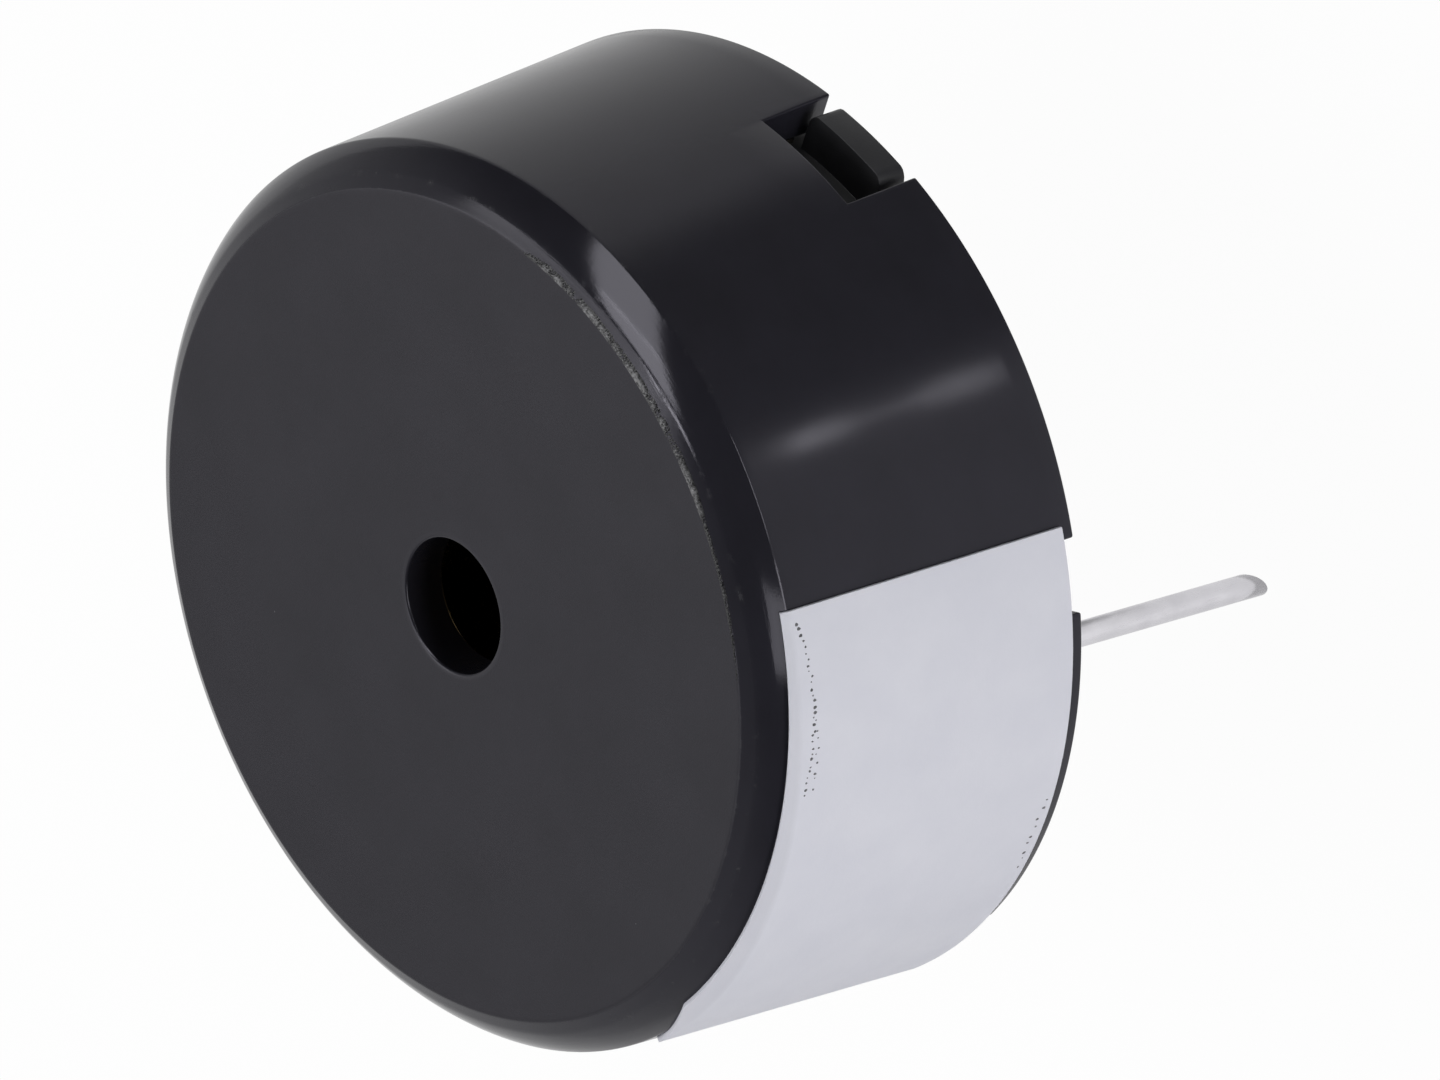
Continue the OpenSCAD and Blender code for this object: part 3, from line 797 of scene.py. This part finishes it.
def makeSpecks(s, h, sheet):
    # small flat dots along arcs: height = end height - sag (1 - t^2), t from -1 to 1 along the arc
    angle = []
    z = []
    for count, first, last, endHeight, sag in s["arcs"]:
        t = np.linspace(-1, 1, count) + seeded.uniform(-s["shift"], s["shift"], count) / count
        angle.append((first + last) / 2 + t * (last - first) / 2)
        z.append(endHeight - sag * (1 - t ** 2))
    angle = np.radians(np.concatenate(angle))
    count = len(angle)
    z = np.concatenate(z) + seeded.uniform(-s["scatter"], s["scatter"], count)
    radius = wallRadius(h, z) + sheet["thickness"] + s["lift"]
    sides = s["sides"]
    size = seeded.uniform(*s["radius"], count)[:, None]
    size = size * seeded.uniform(*s["uneven"], (count, sides))
    turn = np.linspace(0, 2 * np.pi, sides, endpoint=False)[None, :]
    around = angle[:, None] + size * np.cos(turn) / radius[:, None]
    up = z[:, None] + s["tall"] * size * np.sin(turn)
    rim = radius[:, None] - s["lift"] / 2
    ring = np.stack([rim * np.cos(around), rim * np.sin(around), up], -1)
    centre = np.stack([radius * np.cos(angle), radius * np.sin(angle), z], -1)[:, None]
    crown = centre + (ring - centre) / 2 + (centre - ring.mean(1, keepdims=True)) / 2
    inward = 1 - s["lift"] / s["middleRadius"]
    points = np.concatenate([crown, ring, ring * np.array([inward, inward, 1])], 1)
    lid = ladderQuads(sides)
    dot = np.concatenate([gridQuads(3, sides, closeColumns=True)[:, ::-1], lid, lid[:, ::-1] + 2 * sides])
    quads = (dot[None] + (np.arange(count) * 3 * sides)[:, None, None]).reshape(-1, 4)
    return putMesh("labelSpecks", points, quads)


def newGroup(name, inputs, output):
    # shader node group with named number inputs, as {name: value}, and one named number output
    tree = bpy.data.node_groups.new(name, "ShaderNodeTree")
    for label, value in inputs.items():
        socket = tree.interface.new_socket(label, in_out="INPUT", socket_type="NodeSocketFloat")
        socket.default_value = value
    tree.interface.new_socket(output, in_out="OUTPUT", socket_type="NodeSocketFloat")
    return tree, tree.nodes.new("NodeGroupInput").outputs, tree.nodes.new("NodeGroupOutput").inputs[output]


def feed(tree, socket, value):
    # a value is another node's socket or a plain number
    if isinstance(value, (int, float)):
        socket.default_value = value
    else:
        tree.links.new(value, socket)


def calc(tree, operation, *values, clamp=False):
    node = tree.nodes.new("ShaderNodeMath")
    node.operation = operation
    node.use_clamp = clamp
    for socket, value in zip(node.inputs, values):
        feed(tree, socket, value)
    return node.outputs[0]


def vectorMath(tree, operation, vector, other=None):
    node = tree.nodes.new("ShaderNodeVectorMath")
    node.operation = operation
    tree.links.new(vector, node.inputs[0])
    if other is not None:
        node.inputs[1].default_value = other
    return node


def smoothRange(tree, value, fromRange, toRange):
    # smooth step from one value to another while the input crosses a range
    node = tree.nodes.new("ShaderNodeMapRange")
    node.interpolation_type = "SMOOTHSTEP"
    for label, limit in zip(("From Min", "From Max", "To Min", "To Max"), (*fromRange, *toRange)):
        node.inputs[label].default_value = limit
    tree.links.new(value, node.inputs["Value"])
    return node.outputs["Result"]


def objectPlace(tree):
    return tree.nodes.new("ShaderNodeTexCoord").outputs["Object"]


def noise(tree, scale, detail, roughness=0.5, vector=None):
    node = tree.nodes.new("ShaderNodeTexNoise")
    node.inputs["Detail"].default_value = detail
    node.inputs["Roughness"].default_value = roughness
    feed(tree, node.inputs["Scale"], scale)
    tree.links.new(vector or objectPlace(tree), node.inputs["Vector"])
    return node.outputs["Fac"]


def perMillimetre(tree, size):
    # texture scale whose pattern repeats about once in a size given in millimetres
    return calc(tree, "DIVIDE", 1 / mm, size)


def grainGroup():
    # two sizes of noise, the fine one riding on the coarse one
    tree, given, result = newGroup("mouldGrain", dict(Size=0.05, Contrast=1.0), "Height")
    fine = noise(tree, perMillimetre(tree, given["Size"]), 3.0, 0.6)
    coarse = noise(tree, perMillimetre(tree, calc(tree, "MULTIPLY", given["Size"], 6.0)), 2.0)
    mixed = calc(tree, "MULTIPLY_ADD", fine, 0.7, calc(tree, "MULTIPLY", coarse, 0.3))
    centred = calc(tree, "SUBTRACT", mixed, 0.5)
    tree.links.new(calc(tree, "MULTIPLY_ADD", centred, given["Contrast"], 0.5), result)
    return tree


def cloudsGroup():
    # slow change of tone over the piece, from a low to a high value
    tree, given, result = newGroup("toneClouds", dict(Size=2.0, Low=0.8, High=1.2), "Tone")
    ramp = tree.nodes.new("ShaderNodeMapRange")
    ramp.inputs["From Min"].default_value = 0.3
    ramp.inputs["From Max"].default_value = 0.7
    tree.links.new(noise(tree, perMillimetre(tree, given["Size"]), 3.0, 0.55), ramp.inputs["Value"])
    tree.links.new(given["Low"], ramp.inputs["To Min"])
    tree.links.new(given["High"], ramp.inputs["To Max"])
    tree.links.new(ramp.outputs["Result"], result)
    return tree


def dustGroup():
    # one speck in a few of the cells of a cell pattern, each with its own size
    tree, given, result = newGroup("dustSpecks", dict(Spacing=0.8, Share=0.2, Speck=0.03), "Mask")
    cells = tree.nodes.new("ShaderNodeTexVoronoi")
    tree.links.new(objectPlace(tree), cells.inputs["Vector"])
    tree.links.new(perMillimetre(tree, given["Spacing"]), cells.inputs["Scale"])
    chance = tree.nodes.new("ShaderNodeSeparateColor")
    tree.links.new(cells.outputs["Color"], chance.inputs[0])
    largest = calc(tree, "DIVIDE", given["Speck"], given["Spacing"])
    size = calc(tree, "MULTIPLY", largest, calc(tree, "MULTIPLY_ADD", chance.outputs[1], 0.9, 0.3))
    near = calc(tree, "SUBTRACT", 1.0, calc(tree, "DIVIDE", cells.outputs["Distance"], size), clamp=True)
    soft = calc(tree, "MULTIPLY", near, 3.0, clamp=True)
    chosen = calc(tree, "LESS_THAN", chance.outputs[0], given["Share"])
    tree.links.new(calc(tree, "MULTIPLY", soft, chosen), result)
    return tree


def turnedGroup():
    # noise drawn out around the Z axis: it is read at (angle * 8 mm / stretch, radius, height)
    tree, given, result = newGroup("turnedRipple", dict(Size=0.08, Stretch=10.0), "Height")
    parts = tree.nodes.new("ShaderNodeSeparateXYZ")
    tree.links.new(objectPlace(tree), parts.inputs[0])
    x, y, z = parts.outputs
    squared = calc(tree, "ADD", calc(tree, "MULTIPLY", x, x), calc(tree, "MULTIPLY", y, y))
    around = calc(tree, "MULTIPLY", calc(tree, "ARCTAN2", y, x), 8 * mm)
    joined = tree.nodes.new("ShaderNodeCombineXYZ")
    tree.links.new(calc(tree, "DIVIDE", around, given["Stretch"]), joined.inputs["X"])
    tree.links.new(calc(tree, "SQRT", squared), joined.inputs["Y"])
    tree.links.new(z, joined.inputs["Z"])
    drawn = noise(tree, perMillimetre(tree, given["Size"]), 3.0, 0.6, joined.outputs[0])
    tree.links.new(drawn, result)
    return tree


def wearGroup():
    # an edge mask broken up by noise
    tree, given, result = newGroup("edgeWear", dict(Edge=0.0, Size=0.15, Amount=0.5), "Mask")
    broken = noise(tree, perMillimetre(tree, given["Size"]), 4.0, 0.65)
    level = calc(tree, "SUBTRACT", calc(tree, "ADD", broken, given["Amount"]), 0.75)
    worn = calc(tree, "MULTIPLY", level, 5.0, clamp=True)
    tree.links.new(calc(tree, "MULTIPLY", worn, given["Edge"], clamp=True), result)
    return tree


def place(tree, group, **values):
    # puts a group into a material with its own values
    node = tree.nodes.new("ShaderNodeGroup")
    node.node_tree = group
    for label, value in values.items():
        feed(tree, node.inputs[label], value)
    return node.outputs[0]


def newMaterial(name, **sockets):
    # sockets are named with an underscore for each space
    material = bpy.data.materials.new(name)
    material.use_nodes = True
    shader = material.node_tree.nodes["Principled BSDF"]
    for label, value in sockets.items():
        shader.inputs[label.replace("_", " ")].default_value = value
    return material, material.node_tree, shader


def blendColour(tree, factor, low, high):
    node = tree.nodes.new("ShaderNodeMix")
    node.data_type = "RGBA"
    for socket, value in ((node.inputs[6], low), (node.inputs[7], high)):
        if isinstance(value, tuple):
            socket.default_value = (*value, 1)
        else:
            tree.links.new(value, socket)
    tree.links.new(factor, node.inputs[0])
    return node.outputs[2]


def addBump(tree, shader, *layers):
    # bumps in a chain; each layer is a height socket and its depth in millimetres
    normal = None
    for height, depth in layers:
        node = tree.nodes.new("ShaderNodeBump")
        node.inputs["Distance"].default_value = depth * mm
        tree.links.new(height, node.inputs["Height"])
        if normal is not None:
            tree.links.new(normal, node.inputs["Normal"])
        normal = node.outputs[0]
    tree.links.new(normal, shader.inputs["Normal"])


def readAttribute(tree, name):
    node = tree.nodes.new("ShaderNodeAttribute")
    node.attribute_name = name
    return node.outputs["Fac"]


plastic = dict(
    colour=(0.0175, 0.0170, 0.0230), faceColour=(0.0105, 0.0098, 0.0142), wornColour=(0.03, 0.03, 0.034),
    darkColour=(0.004, 0.004, 0.005), dustColour=(0.16, 0.16, 0.17), darkShare=0.25,
    gloss=0.16, bevelGloss=0.09, faceRoughness=0.5, toneRoughness=0.04, dustRoughness=0.3,
    reflectance=1.34, glossTint=(0.91, 0.89, 1.0), toneSize=1.6,
    dust=dict(Spacing=0.8, Share=0.2, Speck=0.03), dustDepth=0.01, wear=dict(Size=0.3, Amount=0.2),
    grainSize=0.035, grainContrast=1.4, faceGrainDepth=0.0035, wallGrainDepth=0.0006,
    waveSize=2.6, waveDepth=0.012, ripple=dict(Size=0.07, Stretch=14.0), rippleDepth=0.0016,
)


def housingMaterial(p, groups):
    # matt on the face, glossier on the bevel; slow waves in the wall, turning marks on the bevel, fine grain
    material, tree, shader = newMaterial("blackMouldedPlastic", IOR=p["reflectance"])
    shader.inputs["Specular Tint"].default_value = (*p["glossTint"], 1)
    matt = readAttribute(tree, "matt")
    bevel = readAttribute(tree, "bevel")
    tone = place(tree, groups["clouds"], Size=p["toneSize"], Low=0.0, High=1.0)
    dust = place(tree, groups["dust"], **p["dust"])
    worn = place(tree, groups["wear"], Edge=readAttribute(tree, "edge"), **p["wear"])
    grain = place(tree, groups["grain"], Size=p["grainSize"], Contrast=p["grainContrast"])
    base = blendColour(tree, matt, p["colour"], p["faceColour"])
    base = blendColour(tree, calc(tree, "MULTIPLY", tone, p["darkShare"]), base, p["darkColour"])
    base = blendColour(tree, worn, base, p["wornColour"])
    base = blendColour(tree, dust, base, p["dustColour"])
    tree.links.new(base, shader.inputs["Base Color"])
    rough = calc(tree, "MULTIPLY_ADD", matt, p["faceRoughness"] - p["gloss"], p["gloss"])
    rough = calc(tree, "MULTIPLY_ADD", bevel, p["bevelGloss"] - p["gloss"], rough)
    rough = calc(tree, "MULTIPLY_ADD", tone, p["toneRoughness"], rough)
    marked = calc(tree, "MAXIMUM", dust, worn)
    rough = calc(tree, "ADD", rough, calc(tree, "MULTIPLY", marked, p["dustRoughness"]))
    tree.links.new(rough, shader.inputs["Roughness"])
    wallShare = p["wallGrainDepth"] / p["faceGrainDepth"]
    grain = calc(tree, "MULTIPLY", grain, calc(tree, "MULTIPLY_ADD", matt, 1 - wallShare, wallShare))
    waves = noise(tree, 1 / mm / p["waveSize"], 1.0)
    waves = calc(tree, "MULTIPLY", waves, calc(tree, "SUBTRACT", 1.0, matt))
    ripple = calc(tree, "MULTIPLY", place(tree, groups["turned"], **p["ripple"]), bevel)
    addBump(tree, shader, (waves, p["waveDepth"]), (ripple, p["rippleDepth"]), (grain, p["faceGrainDepth"]),
            (dust, p["dustDepth"]))
    return material


# colours of the painted shade in the hollows and of the painted highlight on the raised chips
tornEdge = dict(
    hollowPaintedShade=(0.006, 0.006, 0.007), chipPaintedHighlight=(0.24, 0.24, 0.25), power=1.6,
    toneSize=0.07, toneLow=-0.3, grainSize=0.03, grainContrast=1.6, grainDepth=0.004, roughness=(0.22, 0.42),
)


def burrMaterial(s, p, groups):
    # painted highlight, lighter where the chips stand high (chip^power * tone), and painted shade in the low
    # hollows
    material, tree, shader = newMaterial("tornPlastic", IOR=p["reflectance"])
    tone = place(tree, groups["clouds"], Size=s["toneSize"], Low=s["toneLow"], High=1.0)
    grain = place(tree, groups["grain"], Size=s["grainSize"], Contrast=s["grainContrast"])
    high = calc(tree, "POWER", readAttribute(tree, "chip"), s["power"])
    lit = calc(tree, "MULTIPLY", high, calc(tree, "MULTIPLY_ADD", tone, 0.7, 0.3), clamp=True)
    tree.links.new(blendColour(tree, lit, s["hollowPaintedShade"], s["chipPaintedHighlight"]), shader.inputs["Base Color"])
    tree.links.new(spreadRoughness(tree, tone, s["roughness"]), shader.inputs["Roughness"])
    addBump(tree, shader, (grain, s["grainDepth"]))
    return material


def spreadRoughness(tree, pattern, limits):
    # from the first limit where the pattern is 0 to the second where it is 1
    return calc(tree, "MULTIPLY_ADD", pattern, limits[1] - limits[0], limits[0])


basePlastic = dict(
    darkColour=(0.020, 0.020, 0.023), lightColour=(0.027, 0.027, 0.031), roughness=(0.38, 0.48),
    toneSize=1.2, grainSize=0.05, grainContrast=1.3, grainDepth=0.003, dustDepth=0.008,
)


def baseMaterial(s, p, groups):
    # two tones in clouds, evenly matt, with the housing's dust
    material, tree, shader = newMaterial("blackBasePlastic", IOR=p["reflectance"])
    tone = place(tree, groups["clouds"], Size=s["toneSize"], Low=0.0, High=1.0)
    dust = place(tree, groups["dust"], **p["dust"])
    grain = place(tree, groups["grain"], Size=s["grainSize"], Contrast=s["grainContrast"])
    base = blendColour(tree, tone, s["darkColour"], s["lightColour"])
    tree.links.new(blendColour(tree, dust, base, p["dustColour"]), shader.inputs["Base Color"])
    tree.links.new(spreadRoughness(tree, tone, s["roughness"]), shader.inputs["Roughness"])
    addBump(tree, shader, (grain, s["grainDepth"]), (dust, s["dustDepth"]))
    return material


paper = dict(
    darkColour=(0.640, 0.645, 0.710), lightColour=(0.672, 0.676, 0.736), gloss=0.25, roughness=(0.5, 0.65),
    fibreColour=(0.6, 0.6, 0.66), fibreShare=0.12, fibreSize=0.045, fibreContrast=1.5, fibreDepth=0.0015,
    dirtColour=(0.3, 0.3, 0.32), dirtShare=0.35, dirt=dict(Spacing=0.7, Share=0.22, Speck=0.03),
    toneSize=1.1, toneDepth=0.004,
)


def paperMaterial(s, groups):
    # slightly uneven white with fibres and a few faint specks of dirt
    material, tree, shader = newMaterial("whiteLabelPaper", IOR=1.45, Specular_IOR_Level=s["gloss"])
    fibre = place(tree, groups["grain"], Size=s["fibreSize"], Contrast=s["fibreContrast"])
    tone = place(tree, groups["clouds"], Size=s["toneSize"], Low=0.0, High=1.0)
    dirt = place(tree, groups["dust"], **s["dirt"])
    base = blendColour(tree, tone, s["darkColour"], s["lightColour"])
    base = blendColour(tree, calc(tree, "MULTIPLY", fibre, s["fibreShare"]), base, s["fibreColour"])
    base = blendColour(tree, calc(tree, "MULTIPLY", dirt, s["dirtShare"]), base, s["dirtColour"])
    tree.links.new(base, shader.inputs["Base Color"])
    tree.links.new(spreadRoughness(tree, fibre, s["roughness"]), shader.inputs["Roughness"])
    addBump(tree, shader, (tone, s["toneDepth"]), (fibre, s["fibreDepth"]))
    return material


ink = dict(
    darkColour=(0.05, 0.05, 0.055), lightColour=(0.16, 0.16, 0.17), roughness=(0.5, 0.6), toneSize=0.2,
)


def inkMaterial(s, groups):
    # grey that changes from dot to dot
    material, tree, shader = newMaterial("greyInk", IOR=1.4)
    tone = place(tree, groups["clouds"], Size=s["toneSize"], Low=0.0, High=1.0)
    tree.links.new(blendColour(tree, tone, s["darkColour"], s["lightColour"]), shader.inputs["Base Color"])
    tree.links.new(spreadRoughness(tree, tone, s["roughness"]), shader.inputs["Roughness"])
    return material


metals = dict(
    tinnedWire=dict(dark=(0.66, 0.65, 0.685), light=(0.76, 0.75, 0.785), roughness=(0.2, 0.4),
                    grainSize=0.04, depth=0.002, stretch=12.0),
    softSolder=dict(dark=(0.6, 0.6, 0.61), light=(0.72, 0.72, 0.73), roughness=(0.24, 0.44),
                    grainSize=0.08, depth=0.004),
    rolledBrass=dict(dark=(0.70, 0.50, 0.20), light=(0.80, 0.60, 0.28), roughness=(0.15, 0.35),
                     grainSize=0.06, depth=0.002),
    firedSilver=dict(dark=(0.74, 0.74, 0.74), light=(0.84, 0.84, 0.84), roughness=(0.32, 0.52),
                     grainSize=0.03, depth=0.003),
)


def metalMaterial(name, groups, dark, light, roughness, grainSize, depth, stretch=None):
    # bare metal: tone and roughness follow clouds and a grain; a stretch draws the grain out along Z
    material, tree, shader = newMaterial(name, Metallic=1.0)
    tone = place(tree, groups["clouds"], Size=0.6, Low=0.0, High=1.0)
    if stretch:
        drawn = tree.nodes.new("ShaderNodeMapping")
        drawn.inputs["Scale"].default_value = (1, 1, 1 / stretch)
        tree.links.new(objectPlace(tree), drawn.inputs["Vector"])
        grain = noise(tree, 1 / mm / grainSize, 3.0, 0.6, drawn.outputs[0])
    else:
        grain = place(tree, groups["grain"], Size=grainSize, Contrast=1.2)
    tree.links.new(blendColour(tree, tone, dark, light), shader.inputs["Base Color"])
    tree.links.new(spreadRoughness(tree, grain, roughness), shader.inputs["Roughness"])
    addBump(tree, shader, (tone, depth), (grain, depth))
    return material


plainFinishes = dict(
    piezoCeramic=dict(dark=(0.62, 0.58, 0.44), light=(0.70, 0.66, 0.53), roughness=(0.48, 0.63),
                      grainSize=0.05, depth=0.003),
    whiteSilicone=dict(dark=(0.74, 0.74, 0.72), light=(0.82, 0.82, 0.80), roughness=(0.33, 0.48),
                       grainSize=0.12, depth=0.004),
    darkEpoxy=dict(dark=(0.010, 0.009, 0.008), light=(0.022, 0.019, 0.016), roughness=(0.18, 0.33),
                   grainSize=0.15, depth=0.003, coat=0.4),
    redEnamel=dict(dark=(0.36, 0.035, 0.02), light=(0.48, 0.05, 0.03), roughness=(0.18, 0.33),
                   grainSize=0.05, depth=0.001, coat=0.8),
    darkEnamel=dict(dark=(0.02, 0.02, 0.035), light=(0.035, 0.035, 0.055), roughness=(0.18, 0.33),
                    grainSize=0.05, depth=0.001, coat=0.8),
)


def plainMaterial(name, groups, dark, light, roughness, grainSize, depth, coat=0.0):
    # paste, ceramic or enamel: two tones in clouds, a fine grain, and a clear coat where it has one
    material, tree, shader = newMaterial(name, Coat_Weight=coat)
    tone = place(tree, groups["clouds"], Size=0.8, Low=0.0, High=1.0)
    grain = place(tree, groups["grain"], Size=grainSize, Contrast=1.2)
    tree.links.new(blendColour(tree, tone, dark, light), shader.inputs["Base Color"])
    tree.links.new(spreadRoughness(tree, grain, roughness), shader.inputs["Roughness"])
    addBump(tree, shader, (grain, depth))
    return material


makeCamera(cameraSet)
makeWorld(roomSet)
makeLamps(lampSet)
makeFloor(floorSet)
print("stage made")

housingShell = settle(makeHousing(housing), "housing", "housing")
print("housing made:", len(housingShell.data.polygons), "faces before rounding")
baseShell = settle(makeBase(basePlate), "base", "base")
print("base made:", len(baseShell.data.polygons), "faces before rounding")
labelPiece = settle(makeLabel(labelSheet, housing), "label", "label")
print("label made")
pinA = settle(makePin("pinA", pin, 1), "pins", "pin_a")
pinB = settle(makePin("pinB", pin, -1), "pins", "pin_b")
collarA = settle(makeCollar("pinCollarA", pin, 1), "pins")
collarB = settle(makeCollar("pinCollarB", pin, -1), "pins")
print("pins made")

burrPiece = settle(makeBurr(burr, housing), "housing")
speckPiece = settle(makeSpecks(specks, housing, labelSheet), "label")
print("burr and specks made")

groups = dict(
    grain=grainGroup(), clouds=cloudsGroup(), dust=dustGroup(), turned=turnedGroup(), wear=wearGroup(),
)
insideFinishes = dict(
    pin_a_solder="softSolder", pin_b_solder="softSolder", ceramic_solder="softSolder",
    plate_solder="softSolder", brass_plate="rolledBrass", silver_electrode="firedSilver",
    ceramic_disc="piezoCeramic", sounder_adhesive="whiteSilicone", base_seal="darkEpoxy",
    ceramic_lead="redEnamel", plate_lead="darkEnamel",
)


def dress(piece, material):
    piece.data.materials.clear()
    piece.data.materials.append(material)


dress(housingShell, housingMaterial(plastic, groups))
dress(burrPiece, burrMaterial(tornEdge, plastic, groups))
dress(baseShell, baseMaterial(basePlastic, plastic, groups))
dress(labelPiece, paperMaterial(paper, groups))
dress(speckPiece, inkMaterial(ink, groups))
finishes = {name: metalMaterial(name, groups, **values) for name, values in metals.items()}
for name, values in plainFinishes.items():
    finishes[name] = plainMaterial(name, groups, **values)
for piece in (pinA, pinB, collarA, collarB):
    dress(piece, finishes["tinnedWire"])
for node, finish in insideFinishes.items():
    dress(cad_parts[node], finishes[finish])
print("materials made:", len(bpy.data.materials))
